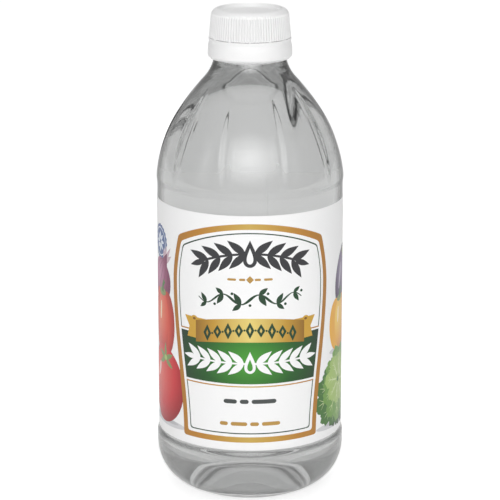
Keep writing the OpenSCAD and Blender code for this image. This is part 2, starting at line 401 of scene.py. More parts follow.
def flute_radius(z, offset):
    """Radius at which the flute's round cutter reaches closest to the axis, or None beside it."""
    middle = FLUTE_C.x + sqrt(FLUTE_BEND ** 2 - (z - FLUTE_C.y) ** 2)
    side = sin(offset)
    if abs(middle * side) >= FLUTE_CUT_R:
        return None
    low, high = middle - 2 * FLUTE_CUT_R, middle
    for _ in range(24):
        r = (low + high) / 2
        to_line = hypot(r * cos(offset) - FLUTE_C.x, z - FLUTE_C.y) - FLUTE_BEND
        if hypot(to_line, r * side) > FLUTE_CUT_R:
            low = r
        else:
            high = r
    return high


def soft_min(a, b, width):
    """The smaller of two numbers, blended where they are within width of each other."""
    h = min(1.0, max(0.0, 0.5 + 0.5 * (b - a) / width))
    return b * (1 - h) + a * h - width * h * (1 - h)


def thread_rise(z, angle):
    """How far the thread stands out at a point of the finish."""
    start = MOUTH_Z - THREAD_LEAD_IN - THREAD_TURNS * THREAD_PITCH
    best = 0.0
    for whole in range(2):
        turns = (angle % (2 * pi)) / (2 * pi) + whole
        if turns > THREAD_TURNS:
            continue
        fade = min(1.0, turns / THREAD_FADE, (THREAD_TURNS - turns) / THREAD_FADE)
        share = 1 - ((z - start - turns * THREAD_PITCH) / THREAD_OUT) ** 2
        best = max(best, fade * sqrt(max(0.0, share)) * THREAD_OUT)
    return best


def glass_shape(radius, z, angle):
    """Cuts the flutes into the outside of the shoulder and raises the thread on the finish."""
    if FLUTE_LOW - 3 < z < FLUTE_TOP + 3 and radius > along_outline(z, -1.0).x:
        cut = flute_radius(z, flute_offset(angle))
        return radius if cut is None else soft_min(radius, cut, FLUTE_EDGE)
    if z > BEAD_TOP and abs(radius - FINISH_R) < 1e-6:
        return radius + thread_rise(z, angle)
    return radius


def flute_angles():
    """Angles round the bottle, closer together across each flute."""
    pitch = 360 / FLUTE_COUNT
    fine, coarse = evenly(-7, 7, 18), evenly(7, pitch - 7, 11)[1:-1]
    start = pitch / 2 - 90 + FLUTE_PHASE
    return [radians(start + pitch * k + a) for k in range(FLUTE_COUNT) for a in fine + coarse]


# ---- Materials


def linear(colour):
    """Scene-linear value of a display colour given as 0 to 255."""
    unit = [c / 255 for c in colour]
    return tuple(c / 12.92 if c <= 0.04045 else ((c + 0.055) / 1.055) ** 2.4 for c in unit) + (1.0,)


def wire(tree, node, inputs):
    """Sets a node's inputs, each to a constant or to the output that it is linked to."""
    for name, value in inputs.items():
        if isinstance(value, bpy.types.NodeSocket):
            tree.links.new(value, node.inputs[name])
        else:
            node.inputs[name].default_value = value


def add_node(tree, kind, inputs, **settings):
    """A new shader node with these settings and inputs; returns its outputs."""
    made = tree.nodes.new("ShaderNode" + kind)
    for name, value in settings.items():
        setattr(made, name, value)
    wire(tree, made, inputs)
    return made.outputs


def new_material(name, constants):
    """A Principled material with constant values set on its own sockets."""
    made = bpy.data.materials.new(name)
    made.use_nodes = True
    shader = made.node_tree.nodes["Principled BSDF"]
    wire(made.node_tree, shader, constants)
    return made, made.node_tree, shader


def noise(tree, scale, detail=3.0):
    """Object-space noise, scale in features per metre."""
    place = add_node(tree, "TexCoord", {})["Object"]
    return add_node(tree, "TexNoise", {"Vector": place, "Scale": scale, "Detail": detail})["Fac"]


def span(tree, value, low, high):
    """Maps a value from 0..1 to low..high."""
    return add_node(tree, "MapRange", {"Value": value, "To Min": low, "To Max": high})["Result"]


def bump(tree, height, depth_mm):
    return add_node(tree, "Bump", {"Height": height, "Distance": depth_mm * MM})["Normal"]


def calculate(tree, operation, first, second=0.0):
    return add_node(tree, "Math", {0: first, 1: second}, operation=operation)["Value"]


def colour_ramp(tree, value, stops):
    """A ramp fed by value, with (position, colour) stops."""
    made = tree.nodes.new("ShaderNodeValToRGB")
    elements = made.color_ramp.elements
    while len(elements) < len(stops):
        elements.new(0.5)
    for element, (position, colour) in zip(elements, stops):
        element.position = position
        element.color = colour
    wire(tree, made, {"Fac": value})
    return made.outputs["Color"]


def smooth_along(tree, axis, low, high, start, end):
    """Goes smoothly from start to end between two places on an axis, in mm."""
    place = add_node(tree, "TexCoord", {})["Object"]
    inputs = {"Value": add_node(tree, "SeparateXYZ", {"Vector": place})[axis]}
    inputs.update({"From Min": low * MM, "From Max": high * MM, "To Min": start, "To Max": end})
    return add_node(tree, "MapRange", inputs, interpolation_type="SMOOTHSTEP")["Result"]


def glass_material():
    """Clear glass with painted shade: it darkens where it is seen edge-on, more at the neck and not at the
    heel.
    """
    made, tree, shader = new_material("clear_glass", {"Transmission Weight": 1.0, "IOR": 1.5})
    # Painted shade: the glass colour turns dark towards its silhouettes
    edge_shade = add_node(tree, "LayerWeight", {})["Facing"]
    edge_shade = calculate(tree, "ADD", edge_shade, smooth_along(tree, "Z", *NECK_SHADE_ZONE, 0.0, NECK_EDGE_SHADE))
    edge_shade = calculate(tree, "ADD", edge_shade, smooth_along(tree, "Z", *HEEL_SHADE_ZONE, -HEEL_EDGE_SHADE, 0.0))
    wire(tree, shader, {
        "Base Color": colour_ramp(tree, edge_shade, GLASS_TINT_AND_SHADE_STOPS),
        "Roughness": span(tree, noise(tree, 180), 0.0, 0.012),
        "Normal": bump(tree, noise(tree, 55, 1.0), 0.02),
    })
    return made


def vinegar_material():
    constants = {"Base Color": VINEGAR_TINT, "Transmission Weight": 1.0, "IOR": 1.34}
    made, tree, shader = new_material("vinegar", constants)
    wire(tree, shader, {"Roughness": span(tree, noise(tree, 40), 0.0, 0.004)})
    return made


def closure_material():
    """White moulded plastic with painted shade: a little greyer at the bottom of its grooves, where light
    hardly reaches.
    """
    made, tree, shader = new_material("white_closure", {"IOR": 1.49})
    depth = add_node(tree, "Attribute", {}, attribute_name=GROOVE_MAP)["Fac"]
    wire(tree, shader, {
        "Base Color": colour_ramp(tree, depth, [(0.0, linear(CREST_COLOUR)), (1.0, linear(GROOVE_SHADE_COLOUR))]),
        "Roughness": span(tree, noise(tree, 900), 0.30, 0.42),
        "Normal": bump(tree, noise(tree, 2600), 0.012),
    })
    return made


# ---- Inks

INKS = {}


def ink(name, stops, centre=(0, 0), size=(1, 1), turn=0, form="LINEAR", gloss=0.38):
    """A printed colour that runs through stops, across a stretch (LINEAR) or in to a centre (SPHERICAL)."""
    made, tree, shader = new_material("ink_" + name, {"Coat Weight": 0.25, "Coat Roughness": 0.2})
    place = add_node(tree, "Mapping", {
        "Vector": add_node(tree, "UVMap", {}, uv_map=PRINT_MAP)["UV"],
        "Location": (*centre, 0),
        "Rotation": (0, 0, radians(turn)),
        "Scale": (*size, 1),
    }, vector_type="TEXTURE")["Vector"]
    gradient = add_node(tree, "TexGradient", {"Vector": place}, gradient_type=form)["Fac"]
    mottle = {
        "Factor": 1.0,
        MIX_A: colour_ramp(tree, gradient, [(at, linear(colour)) for at, colour in stops]),
        MIX_B: span(tree, noise(tree, 1400), 0.97, 1.0),
    }
    wire(tree, shader, {
        "Base Color": add_node(tree, "Mix", mottle, data_type="RGBA", blend_type="MULTIPLY")[MIX_OUT],
        "Roughness": span(tree, noise(tree, 700), gloss - 0.05, gloss + 0.05),
        "Normal": bump(tree, noise(tree, 2200), 0.01),
    })
    INKS[name] = made
    return name


PLAIN_INKS = (
    ("paper", (251, 251, 251)),
    ("label_back", (251, 251, 251)),
    ("ribbon_tail", (208, 162, 52)),
    ("soft_shadow", (214, 214, 217)),
    ("deep_shadow", (192, 192, 195)),
    ("tomato_shine", (252, 196, 188)),
    ("pepper_shine", (254, 232, 196)),
    ("aubergine_shine", (196, 188, 206)),
    ("stalk_green", (128, 148, 84)),
    ("leaf_light", (166, 196, 106)),
    ("seal_pale", (226, 234, 244)),
)
# The colours at the left and right of a gradient, where it starts and how long it is
ACROSS_INKS = (
    ("deep_green", (10, 52, 24), (14, 66, 32), -30, 60),
    ("small_gold", (182, 140, 62), (190, 148, 70), -12, 24),
    ("small_dark", (62, 68, 66), (72, 78, 76), -12, 24),
    ("carrot_line", (178, 70, 18), (190, 80, 24), 60, 22),
)
# Two colours, and the height above which the first turns into the second within 1 mm
RISING_INKS = (
    ("ribbon_fold", (104, 68, 8), (128, 86, 14), 66),
    ("charcoal", (30, 30, 34), (44, 44, 48), 92),
    ("leaf_dark", (42, 84, 32), (66, 116, 46), 28),
    ("leaf_mid", (74, 122, 44), (112, 158, 66), 28),
    ("leaf_rib", (176, 200, 128), (204, 220, 160), 28),
    ("onion_neck", (160, 108, 140), (204, 176, 188), 30),
    ("onion_line", (92, 28, 66), (112, 40, 80), 30),
    ("seal_blue", (34, 58, 110), (62, 92, 150), 93),
)


def mirrored_stops(edge, inner_at, inner, middle):
    """Gradient stops that are the same from both ends: edge, inner, middle, inner, edge."""
    return [(0.0, edge), (inner_at, inner), (0.5, middle), (1.0 - inner_at, inner), (1.0, edge)]


def make_inks():
    for name, colour in PLAIN_INKS:
        ink(name, [(0, colour), (1, colour)])
    for name, first, last, start, length in ACROSS_INKS:
        ink(name, [(0, first), (1, last)], (start, 0), (length, 1))
    for name, lower, upper, start in RISING_INKS:
        ink(name, [(0, lower), (1, upper)], (0, start), turn=90)
    # Painted light: the inside of the label glows
    paint_back_glow(INKS["label_back"])
    bright, warm, brown = (205, 170, 80), (190, 131, 40), (174, 115, 26)
    ink("gold_frame", mirrored_stops(brown, 0.22, warm, bright), (-34, 0), (68, 1), gloss=0.3)
    ink("gold_frame_back", [(0, warm), (1, warm)], gloss=0.3)
    ribbon = mirrored_stops((146, 102, 18), 0.18, (196, 150, 46), (232, 210, 118))
    ink("ribbon", ribbon, (-22, 0), (44, 1), gloss=0.3)
    greens = [(0, (10, 46, 20)), (0.4, (18, 88, 20)), (1, (68, 160, 40))]
    ink("green_band", greens, (0, 60), (31, 23), form="SPHERICAL")
    orange, pale_orange = (214, 92, 26), (240, 136, 48)
    ink("carrot", [(0, orange), (0.5, pale_orange), (1, orange)], (60, 0), (22, 1))


def paint_back_glow(material):
    """Painted light: the paper glows as if lit from behind, most at the back of the bottle and less at its
    sides.
    """
    tree = material.node_tree
    reach = (LABEL_R * PAINTED_GLOW_FROM, LABEL_R)
    wire(tree, tree.nodes["Principled BSDF"], {
        "Emission Color": (1, 1, 1, 1),
        "Emission Strength": smooth_along(tree, "Y", *reach, SIDE_PAINTED_GLOW, PAINTED_GLOW),
    })


# ---- Print shapes: outlines in mm on the unrolled label, each with the name of its ink


def placed(outline, x, y, turn):
    """An outline turned about its origin and then moved to (x, y)."""
    c, s = cos(radians(turn)), sin(radians(turn))
    return [(x + px * c - py * s, y + px * s + py * c) for px, py in outline]


def ahead(x, y, turn, length, share=1.0):
    """The point that is a share of length away from (x, y), in a direction."""
    a = radians(turn)
    return x + cos(a) * length * share, y + sin(a) * length * share


def ellipse(x, y, a, b, turn=0, count=40):
    return placed([(a * cos(t), b * sin(t)) for t in even_angles(count)], x, y, turn)


def leaf(x, y, length, width, turn, belly=0.42, count=14):
    """A pointed leaf from its foot (x, y), widest at belly along its length."""
    power = log(0.5) / log(belly)
    rows = evenly(0, 1, count)
    half = [sin(pi * t ** power) * width / 2 for t in rows]
    edge = [(length * t, h) for t, h in zip(rows, half)]
    edge += [(length * t, -h) for t, h in zip(rows[-2:0:-1], half[-2:0:-1])]
    return placed(edge, x, y, turn)


def crinkled(x, y, length, width, turn, seed, count=44):
    """A round-ended leaf with a wavy edge."""
    ring = []
    for a in even_angles(count):
        wave = 1 + 0.055 * sin(9 * a + 1.7 * seed) + 0.03 * sin(17 * a + seed)
        px = length * (0.55 + 0.45 * cos(a) * wave)
        ring.append((px, width / 2 * sin(a) * wave * (0.55 + 0.45 * px / length)))
    return placed(ring, x, y, turn)


def diamond(x, y, a, b):
    return [(x + a, y), (x, y + b), (x - a, y), (x, y - b)]


def bar(x, y, length, height):
    """A short bar with round ends."""
    r = height / 2
    right = arc((x + length / 2 - r, y), r, -90, 90, 6)
    return right + arc((x - length / 2 + r, y), r, 90, 270, 6)


def stroke(points, widths):
    """A line of changing width along points."""
    left, right = [], []
    for i, point in enumerate(points):
        before, after = points[max(0, i - 1)], points[min(len(points) - 1, i + 1)]
        along = (Vector(after) - Vector(before)).normalized()
        out = Vector((-along.y, along.x)) * widths[i] / 2
        left.append(tuple(Vector(point) + out))
        right.append(tuple(Vector(point) - out))
    return left + right[::-1]


def mirrored(outline):
    return [(-x, y) for x, y in reversed(outline)]


def drop(x, y, height, width, count=30):
    """A drop with its point up, its foot at (x, y)."""
    ring = [(width / 2 * sin(t) * sin(t / 2) ** 1.5, height * (1 + cos(t)) / 2) for t in even_angles(count)]
    return placed(ring, x, y, 0)


def bowed(half_width, y, bow, count=24):
    """Points of a line from left to right that rises by bow in its middle."""
    xs = evenly(-half_width, half_width, count)
    return [(x, y + bow * (1 - (x / half_width) ** 2)) for x in xs]


def along_bow(count, half_width, y, bow):
    """Evenly spaced points of a bowed line, with how far along each is, from -1 to 1."""
    return [(half_width * s, y + bow * (1 - s * s), s) for s in evenly(-1, 1, count - 1)]


# ---- The label's front: a plain arched plaque


def plaque_width(y):
    """Half width of the plaque at a height: a slow S up to its widest point, then rounded in to the arch."""
    if y < PLAQUE_WIDE_Z:
        t = max(0.0, (y - PLAQUE_LOW) / (PLAQUE_WIDE_Z - PLAQUE_LOW))
        return PLAQUE_FOOT_W + (PLAQUE_WIDE - PLAQUE_FOOT_W) * t * t * (3 - 2 * t)
    t = (y - PLAQUE_WIDE_Z) / (PLAQUE_CORNER - PLAQUE_WIDE_Z)
    return PLAQUE_TOP_W + (PLAQUE_WIDE - PLAQUE_TOP_W) * cos(pi / 2 * min(1.0, t))


def plaque_side(low, top, inset, steps):
    """The plaque's right side between two heights, moved in."""
    return [(plaque_width(y) - inset, y) for y in evenly(low, top, steps)]


def plaque(inset):
    """Outline of the plaque, moved in."""
    low, corner = PLAQUE_LOW + inset, PLAQUE_CORNER - inset
    right = plaque_side(low, corner, inset, 26)
    top = bowed(right[-1][0], corner, PLAQUE_ARCH)[::-1]
    path = [(0, low)] + right + top[1:-1] + mirrored(right) + [(0, low)]
    return [(0, low)] + eased(path, 1.3)[1:-1]


def between(low, top):
    """The stretch of the plaque inside its line between two heights."""
    right = plaque_side(low, top, LINE_AT, 12)
    return right + mirrored(right)


def garland(ink_name, centre_line, count, length, width, spread, stem):
    """Leaves in pairs that grow outwards from the middle along a bowed line, on both sides."""
    half_width, y, bow = centre_line
    line = [p for p in bowed(half_width, y, bow) if p[0] > 1.5]
    outlines = [stroke(line, [stem] * len(line))]
    for i in range(count):
        x = half_width * (0.16 + 0.78 * i / (count - 1))
        z = y + bow * (1 - (x / half_width) ** 2)
        lean = degrees(atan(-2 * bow * x / half_width ** 2))
        outlines += [leaf(x - 1.2, z, length, width, lean + turn) for turn in (spread, -spread)]
    outlines.append(leaf(half_width - 0.8, line[-1][1], length * 0.8, width * 0.8, lean))
    return [(ink_name, outline) for outline in outlines + [mirrored(o) for o in outlines]]


def bars(ink_name, middle, y, lengths, height, gap=1.1):
    """A row of short bars about a middle, in place of small print."""
    x = -(sum(lengths) + gap * (len(lengths) - 1)) / 2
    for length in lengths:
        yield ink_name, placed(bar(x + length / 2, y, length, height), middle, 0, 0)
        x += length + gap


def vine(ink_name, half_width, y, height, waves, steps=96):
    """A flowing line with a pair of leaves at each turn and berries beside it."""
    points, widths = [], []
    for s in evenly(-1, 1, steps):
        points.append((half_width * s, y + height * sin(pi * waves * s)))
        widths.append(0.35 + 0.75 * cos(pi / 2 * s) * (0.6 + 0.4 * cos(2 * pi * waves * s)))
    yield ink_name, stroke(points, widths)
    for k in range(2 * waves):
        s = (-waves + 0.5 + k) / waves
        up = 1 if sin(pi * waves * s) > 0 else -1
        x, z = half_width * s, y + height * up
        size = 5.6 - 1.6 * abs(s)
        yield ink_name, leaf(x, z, size, size * 0.42, (58 if s > 0 else 122) * -up)
        yield ink_name, leaf(x, z, size * 0.8, size * 0.36, (38 if s > 0 else 142) * up)
        berry_x, berry_y = x + half_width / waves / 2, y - height * up * 0.2 + 2.6 * up
        yield ink_name, ellipse(berry_x, berry_y, 0.55, 0.55, 0, 14)


def ribbon():
    """A gold ribbon with folded tails, set with diamonds."""
    main_w, tail_w, top, low = 21.9, 27.2, 74.7, 66.1
    tail = [(17.5, 75.6), (tail_w, 76.0), (tail_w - 2.2, 71.9), (tail_w - 1.2, 67.7), (17.5, 67.4)]
    fold = [(19.4, 66.4), (main_w, 66.1), (main_w, 68.0)]
    roll = ellipse(22.6, 75.2, 1.5, 1.25)
    for side in (-1, 1):
        for name, outline in (("ribbon_tail", tail), ("ribbon_fold", fold), ("ribbon_tail", roll)):
            yield name, outline if side > 0 else mirrored(outline)
        yield "ribbon_fold", ellipse(side * 22.6, 75.2, 0.7, 0.5, 0, 16)
    yield "ribbon", bowed(main_w, low, 1.5) + bowed(main_w, top, 2.3)[::-1]
    for x, y, share in along_bow(9, 16.8, 70.4, 1.9):
        high = 3.3 if round(abs(share) * 8) % 4 == 0 else 2.7
        yield "deep_green", diamond(x, y, 1.65, high)
        yield "ribbon", diamond(x, y, 0.5, high * 0.38)
    for x, y, _ in along_bow(8, 14.7, 70.5, 1.9):
        yield "deep_green", ellipse(x, y, 0.42, 0.42, 0, 12)


def front_panel():
    """Everything inside the plaque, from its gold frame in."""
    band_low, band_top = 51.0, 69.8
    yield "gold_frame", plaque(0)
    yield "paper", plaque(GOLD_W)
    yield "deep_green", plaque(LINE_AT)
    yield "paper", plaque(LINE_AT + LINE_W)
    yield "gold_frame", between(band_low - 1.3, band_top + 1.2)
    yield "paper", between(band_low - 0.8, band_top + 0.7)
    yield "green_band", between(band_low, band_top)
    yield from garland("charcoal", (18.5, 98.6, 3.6), 4, 8.6, 2.9, 40, 0.9)
    yield "charcoal", drop(0, 96.9, 10.8, 7.6)
    yield "paper", drop(0, 98.2, 6.4, 3.6)
    yield from bars("small_gold", -5.2, 92.2, [3.4, 2.4], 0.9)
    yield from bars("small_gold", 5.2, 92.2, [2.4, 3.4], 0.9)
    yield "small_gold", diamond(0, 92.2, 1.5, 1.5)
    yield from vine("deep_green", 20.5, 84.4, 1.9, 3)
    yield from ribbon()
    yield from garland("paper", (22.4, 60.0, -0.9), 5, 7.6, 2.6, 38, 0.7)
    yield "paper", drop(0, 55.2, 8.8, 6.2)
    yield "green_band", drop(0, 56.2, 4.8, 2.9)
    yield from bars("small_dark", 0, 44.0, [5.2, 3.4, 9.6], 1.7)
    yield from bars("small_gold", 0, 35.0, [3.2, 6.4, 3.4, 7.2], 1.5)


# ---- The label's sides: garden vegetables


def ball_ink(name, x, y, a, b, light, middle, dark):
    """An ink shaded as a round thing lit from the upper left."""
    stops = [(0.0, dark), (0.42, middle), (1.0, light)]
    return ink(name, stops, (x - 0.3 * a, y + 0.3 * b), (1.55 * a, 1.55 * b), form="SPHERICAL")


def shadow(x, y, a, b=1.6):
    yield "soft_shadow", ellipse(x, y, a, b)
    yield "deep_shadow", ellipse(x, y + b * 0.3, a * 0.7, b * 0.5)


def tomato(name, x, y, a, b):
    skin = ball_ink(name, x, y, a, b, (240, 92, 76), (208, 36, 44), (128, 12, 26))
    yield from shadow(x + 1, y - b * 0.96, a)
    yield skin, ellipse(x, y, a, b, 0, 56)
    yield "tomato_shine", ellipse(x - 0.42 * a, y + 0.28 * b, 0.10 * a, 0.24 * b, -28)
    for turn in (92, 158, 24, 205, -28):
        yield "stalk_green", leaf(x + 0.1 * a, y + 0.66 * b, 0.46 * a, 0.15 * a, turn)
    yield "leaf_light", ellipse(x + 0.1 * a, y + 0.68 * b, 0.09 * a, 0.07 * b, 0, 16)


def onion(name, x, y, radius, lean):
    """A red onion with its neck leaning over."""
    skin = ball_ink(name, x, y, radius, radius, (206, 130, 168), (146, 62, 104), (84, 22, 60))
    along = Vector((cos(radians(lean)), sin(radians(lean))))
    tip = Vector((x, y)) + along * radius * 1.35
    yield from shadow(x, y - radius * 0.97, radius)
    foot = tip - along * radius * 0.45
    for turn, length in ((-26, 0.95), (-8, 1.2), (12, 1.05), (30, 0.85)):
        yield "onion_neck", leaf(foot.x, foot.y, length * radius * 0.8, radius * 0.2, lean + turn)
    back_x, back_y = x - along.x * radius * 0.5, y - along.y * radius * 0.5
    yield skin, leaf(back_x, back_y, radius * 1.95, radius, lean, 0.35)
    yield skin, ellipse(x, y, radius, radius * 0.96, lean)
    side = Vector((-along.y, along.x))
    for share in (-0.62, -0.3, 0.05, 0.4, 0.7):
        line = []
        for i in range(13):
            t = -0.86 + 1.9 * i / 12
            bulge = sqrt(max(0.0, 1 - min(1.0, t) ** 2 * 0.97))
            line.append(tuple(Vector((x, y)) + along * radius * t + side * radius * share * bulge))
        yield "onion_line", stroke(line, [0.1 + 0.28 * sin(pi * i / 12) for i in range(13)])


def pepper(name, x, y, a, b, colours):
    """A bell pepper: three lobes and a green stalk."""
    skin = ball_ink(name, x, y, a, b, *colours)
    side = ball_ink(name + "_side", x, y - b * 0.3, a * 0.9, b, colours[1], colours[1], colours[2])
    yield from shadow(x, y - b * 0.98, a)
    for dx in (-0.45, 0.45):
        yield side, ellipse(x + dx * a, y, 0.56 * a, 0.97 * b, 0, 44)
    yield skin, ellipse(x, y, 0.55 * a, b, 0, 44)
    yield "pepper_shine", ellipse(x - 0.2 * a, y + 0.3 * b, 0.07 * a, 0.3 * b, -6)
    yield "stalk_green", ellipse(x, y + 0.9 * b, 0.34 * a, 0.12 * b)
    stalk = [(x, y + 0.9 * b), (x + 0.05 * a, y + 1.1 * b), (x + 0.2 * a, y + 1.26 * b)]
    yield "leaf_dark", stroke(stalk, [0.2 * a, 0.16 * a, 0.2 * a])


def carrot(x, y, length, width, turn):
    """A carrot from its crown at (x, y), with its green top."""
    c, s = cos(radians(turn)), sin(radians(turn))
    for i in range(7):
        name = "leaf_dark" if i % 2 else "leaf_mid"
        yield name, leaf(x, y, length * (0.42 + 0.1 * (i % 3)), 1.7, turn + 180 - 36 + 12 * i)
    yield "carrot", leaf(x - c * 2, y - s * 2, length, width, turn, 0.2, 22)
    for share in (0.16, 0.3, 0.42, 0.58, 0.7):
        px, py = ahead(x, y, turn, length, share)
        reach = width * (0.26 - 0.2 * share)
        yield "carrot_line", stroke([(px - s * reach, py + c * reach), (px, py)], [0.12, 0.4])


# Rings of a lettuce from the outside in: leaves, their length and width in radii, ink, and rise in radii
LETTUCE_RINGS = (
    (14, 1.06, 0.6, "leaf_dark", -0.1),
    (11, 0.9, 0.56, "leaf_mid", 0.05),
    (8, 0.68, 0.5, "leaf_light", 0.12),
)


def lettuce(x, y, radius):
    """A loose head of crinkled leaves with pale ribs, darker behind."""
    yield from shadow(x, y - radius * 0.98, radius)
    for ring, (count, reach, wide, name, lift) in enumerate(LETTUCE_RINGS):
        foot_y = y + lift * radius - 0.1 * radius
        for i in range(count):
            turn = 90 + 360 * (i + 0.37 * ring) / count
            length = radius * reach * (0.94 + 0.1 * sin(5.1 * i + ring))
            yield name, crinkled(x, foot_y, length, radius * wide, turn, i + ring)
            rib = [ahead(x, foot_y, turn, length, t) for t in (0.2, 0.5, 0.86)]
            yield "leaf_rib", stroke(rib, [0.9, 0.55, 0.12])
            for t in (0.45, 0.65):
                at = ahead(x, foot_y, turn, length, t)
                for way in (-38, 38):
                    yield "leaf_rib", stroke([at, ahead(*at, turn + way, length, 0.2)], [0.34, 0.08])


def aubergine(x, y, a, b, lean):
    skin = ball_ink("aubergine", x, y, a, b, (132, 118, 150), (66, 46, 84), (30, 20, 44))
    yield from shadow(x, y - b * 0.98, a)
    yield skin, ellipse(x, y, a, b, lean - 90, 56)
    yield "aubergine_shine", ellipse(x - 0.45 * a, y + 0.1 * b, 0.08 * a, 0.4 * b, lean - 90)
    top = ahead(x, y, lean, b, 0.86)
    for turn in (-150, -180, -210, -120, 120):
        yield "stalk_green", leaf(*top, 0.5 * a, 0.24 * a, lean + turn)
    yield "leaf_dark", stroke([top, ahead(*top, lean, 3.4)], [2.0, 1.5])


def cucumber(x, y, length, width, turn):
    parts = [("leaf_dark", bar(0, 0, length, width))]
    for k, offset in enumerate((-0.3, -0.1, 0.1, 0.3)):
        reach = length * (0.84 - 0.1 * (k % 2))
        parts.append(("leaf_mid", bar(0, offset * width, reach, width * 0.07)))
    for i in range(9):
        across = (0.2, -0.2, 0.0)[i % 3] * width
        parts.append(("leaf_light", ellipse(length * (-0.4 + 0.1 * i), across, 0.35, 0.35, 0, 10)))
    return [(name, placed(outline, x, y, turn)) for name, outline in parts]


def garlic(x, y, radius):
    skin = ball_ink("garlic", x, y, radius, radius, (250, 248, 240), (232, 226, 212), (188, 176, 162))
    yield from shadow(x, y - radius * 0.86, radius)
    yield skin, leaf(x, y - radius * 0.3, radius * 2.1, radius * 1.1, 90, 0.3)
    yield skin, ellipse(x, y, radius, radius * 0.84)
    for share in (-0.55, -0.2, 0.2, 0.55):
        line = []
        for t in (-0.9, -0.5, 0, 0.5, 0.9):
            across = share * radius * cos(pi / 2 * t)
            line.append((x + across, y + radius * (-0.78 + 1.6 * (t + 1) / 2)))
        yield "onion_neck", stroke(line, [0.1, 0.25, 0.3, 0.22, 0.1])


def rosette(x, y, radius, scallops=20):
    """A blue scalloped seal with a plain star of petals."""
    edge = []
    for a in even_angles(scallops * 4):
        r = radius * (0.965 + 0.035 * cos(scallops * a))
        edge.append((x + r * cos(a), y + r * sin(a)))
    yield "seal_blue", edge
    yield "seal_pale", ellipse(x, y, radius * 0.8, radius * 0.8)
    yield "seal_blue", ellipse(x, y, radius * 0.74, radius * 0.74)
    for i in range(8):
        yield "seal_pale", leaf(x, y, radius * 0.58, radius * 0.2, 45 * i, 0.6)
    yield "seal_blue", ellipse(x, y, radius * 0.12, radius * 0.12, 0, 16)


def sprig(x, y, length, turn, count=4):
    """A herb sprig with paired leaves."""
    yield "leaf_dark", stroke([(x, y), ahead(x, y, turn, length)], [0.7, 0.25])
    for i in range(count):
        t = (i + 0.6) / (count + 0.4)
        size = length * (0.5 - 0.22 * t)
        for name, side in (("leaf_dark", -48), ("leaf_mid", 48)):
            yield name, leaf(*ahead(x, y, turn, length, t), size, size * 0.5, turn + side)
    yield "leaf_light", leaf(*ahead(x, y, turn, length, 0.94), length * 0.3, length * 0.15, turn)


def vegetables():
    """What is printed at the label's two sides, on the left and then on the right."""
    yield from sprig(-62, 84, 22, 108)
    yield from sprig(-70, 78, 17, 62)
    yield from rosette(-45.8, 100.7, 7.1)
    yield from cucumber(-66, 62, 44, 11, 98)
    yield from onion("onion", -45.5, 85.0, 9.6, 62)
    reds = ((248, 128, 84), (222, 70, 44), (150, 26, 24))
    yield from pepper("red_pepper", -43.5, 69.5, 9.8, 13.0, reds)
    yield from tomato("plum_tomato", -61.5, 40.5, 11.5, 12.4)
    yield from garlic(-76.5, 35.5, 7.4)
    yield from tomato("tomato", -42.3, 44.6, 14.0, 15.6)
    yield from sprig(62, 86, 20, 74)
    yield from sprig(72, 80, 16, 112)
    yield from carrot(66, 88, 48, 9.5, -84)
    yield from carrot(76, 82, 42, 8.5, -97)
    yield from aubergine(51.0, 85.5, 9.4, 13.4, 74)
    yellows = ((252, 214, 96), (240, 176, 48), (204, 108, 24))
    yield from pepper("yellow_pepper", 46.6, 68.5, 10.0, 10.6, yellows)
    yield from lettuce(45.2, 45.0, 16.8)
    yield from onion("small_onion", 70.5, 36.2, 8.4, 96)


def back_panel(centre, shift):
    """A framed column of plain bars on the back."""
    half, low, top = 12.4, 34.0, 107.0

    def framed(inset):
        corners = [(half - inset, low + inset), (half - inset, top - inset)]
        foot = [(0, low + inset)]
        return eased(foot + corners + mirrored(corners) + foot, 2.4)[:-1]

    shapes = [("gold_frame_back", framed(0)), ("paper", framed(0.7))]
    shapes += [("deep_green", framed(1.5)), ("paper", framed(1.8))]
    shapes.append(("deep_green", bar(0, 100.5, 17, 3.0)))
    for row in range(17):
        y = 94.5 - 3.1 * row
        wide = 19.0 - 3.2 * ((row * 7 + shift) % 4)
        shapes.append(("small_dark", bar(-9.5 + wide / 2, y, wide, 0.9)))
    shapes += [("small_gold", diamond(0, 39.5, 2.2, 2.2)), ("paper", diamond(0, 39.5, 0.9, 0.9))]
    return [(name, placed(outline, centre, 0, 0)) for name, outline in shapes]


# ---- The label as a mesh


def label_point(u, z, radius):
    a = u / LABEL_R
    return radius * sin(a), -radius * cos(a), z


def lap_rise(u, ramp):
    """How far the over-lapping end stands out, after a ramp that ends where the other end lies under it."""
    return (LABEL_T + 0.01) * min(1.0, max(0.0, (u - SEAM) / ramp + 1))


def anticlockwise(outline):
    area = sum(a[0] * b[1] - b[0] * a[1] for a, b in zip(outline, outline[1:] + outline[:1]))
    return outline if area > 0 else outline[::-1]


def along_border(heights):
    """True for a sliver that lies along the sheet's lower or upper edge."""
    return any(max(abs(h - edge) for h in heights) < 0.001 for edge in (LABEL_LOW, LABEL_TOP))


def print_triangles(layers):
    """Cuts the flat sheet along every printed outline: points, triangles and the ink of each."""
    left, right = -HALF_TURN - LAP / 2, HALF_TURN + LAP / 2
    points, edges, loops = [], [], []
    sheet = [(left, LABEL_LOW), (right, LABEL_LOW), (right, LABEL_TOP), (left, LABEL_TOP)]
    for _, outline in [("paper", sheet)] + layers:
        first = len(points)
        points += [Vector(p) for p in anticlockwise(outline)]
        loops.append(list(range(first, len(points))))
    count = round((right - left) / COLUMN_W)
    for u in evenly(left, right, count)[1:-1] + [SEAM - OUTER_RAMP, SEAM - INNER_RAMP, SEAM]:
        edges.append((len(points), len(points) + 1))
        points += [Vector((u, LABEL_LOW)), Vector((u, LABEL_TOP))]
    flat, _, cells, _, _, owners = delaunay_2d_cdt(points, edges, loops, 0, CDT_REACH, True)
    names = ["paper"] + [name for name, _ in layers]
    kept = [(t, o) for t, o in zip(cells, owners) if o and not along_border([flat[i].y for i in t])]
    return flat, [t for t, _ in kept], [names[max(owner)] for _, owner in kept]


